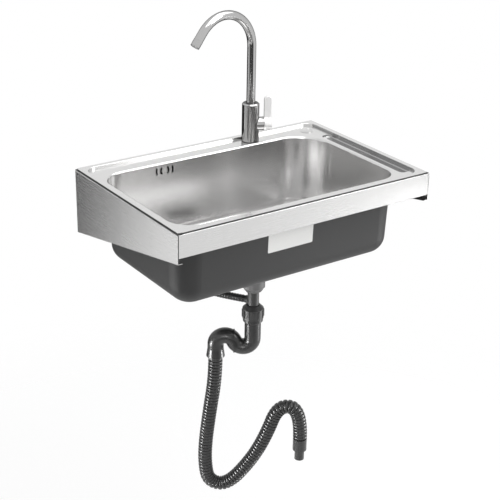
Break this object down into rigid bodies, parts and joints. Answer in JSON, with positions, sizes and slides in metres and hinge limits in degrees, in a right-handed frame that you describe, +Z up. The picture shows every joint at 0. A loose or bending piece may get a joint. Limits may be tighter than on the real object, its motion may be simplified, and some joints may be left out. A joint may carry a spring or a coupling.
{
  "type": "wall-mounted kitchen sink with tap and waste",
  "caption": "Wall-hung pressed steel sink in a sheet bracket, with a swivelling gooseneck side-lever mixer, lift-out strainer, overflow, trap and corrugated drain hose.",
  "frame": {"origin": "centre of the four wall bolts, on the wall's face", "axes": "+X to the right seen from the front, +Y into the wall, +Z up"},
  "size_m": [0.688, 0.454, 1.2128],
  "materials": {
    "bracket_steel": "brushed",
    "bowl_steel": "satin",
    "coating": "matte",
    "seal_rubber": "matte",
    "tap_steel": "brushed",
    "brass": "satin",
    "fastener_steel": "polished",
    "cartridge_plastic": "matte",
    "strainer_steel": "polished",
    "black_plastic": "semi-gloss",
    "grey_plastic": "matte"
  },
  "bodies": {
    "sink": {"apron_nuts": "fastener_steel", "bowl_undercoat": "coating", "cartridge": "cartridge_plastic", "cartridge_nut": "brass", "drain_hose": "black_plastic", "faucet_base_gasket": "seal_rubber", "faucet_body": "tap_steel", "faucet_shank": "brass", "front_apron": "bracket_steel", "hole_plug": "strainer_steel", "hole_plug_nut": "black_plastic", "hose_end_fitting": "black_plastic", "outlet_nut": "grey_plastic", "outlet_seal": "seal_rubber", "overflow_gasket": "seal_rubber", "overflow_hose": "black_plastic", "overflow_housing": "black_plastic", "overflow_screw": "fastener_steel", "rim_gasket": "seal_rubber", "shank_nut": "brass", "shank_washer": "seal_rubber", "side_panel_left": "bracket_steel", "side_panel_right": "bracket_steel", "sink_bowl": "bowl_steel", "spout_retainer": "tap_steel", "strainer_body": "strainer_steel", "strainer_gasket": "seal_rubber", "strainer_locknut": "black_plastic", "tee_tailpiece": "black_plastic", "trap_inlet_bend": "black_plastic", "trap_outlet_bend": "black_plastic", "union_nut": "black_plastic", "union_seal": "seal_rubber"},
    "spout": {"spout_sleeve": "brass", "spout_o_rings": "seal_rubber", "spout_tube": "tap_steel", "aerator_housing": "tap_steel", "aerator_insert": "cartridge_plastic"},
    "lever_yoke": {"cartridge_driver": "cartridge_plastic", "cartridge_pin": "fastener_steel"},
    "lever": {"cartridge_stem": "fastener_steel", "lever_handle": "tap_steel", "lever_set_screw": "fastener_steel"},
    "basket": {"strainer_basket": "strainer_steel", "basket_knob": "strainer_steel", "basket_stopper": "seal_rubber"}
  },
  "joints": [
    {"name": "spout_swivel", "type": "hinge", "parent": "sink", "child": "spout", "pos_m": [0.1246, -0.034, 0.171], "axis": [0, 0, 1], "range_deg": [-8, 172]},
    {"name": "lever_temperature", "type": "hinge", "parent": "sink", "child": "lever_yoke", "pos_m": [0.1246, -0.034, 0.122], "axis": [0.9063, -0.4226, 0], "range_deg": [-40, 40]},
    {"name": "lever_flow", "type": "hinge", "parent": "lever_yoke", "child": "lever", "pos_m": [0.14726, -0.04457, 0.122], "axis": [0.4226, 0.9063, 0], "range_deg": [0, 25]},
    {"name": "basket_lift", "type": "slide", "parent": "sink", "child": "basket", "axis": [0, 0, 1], "range_m": [0, 0.08]}
  ]
}
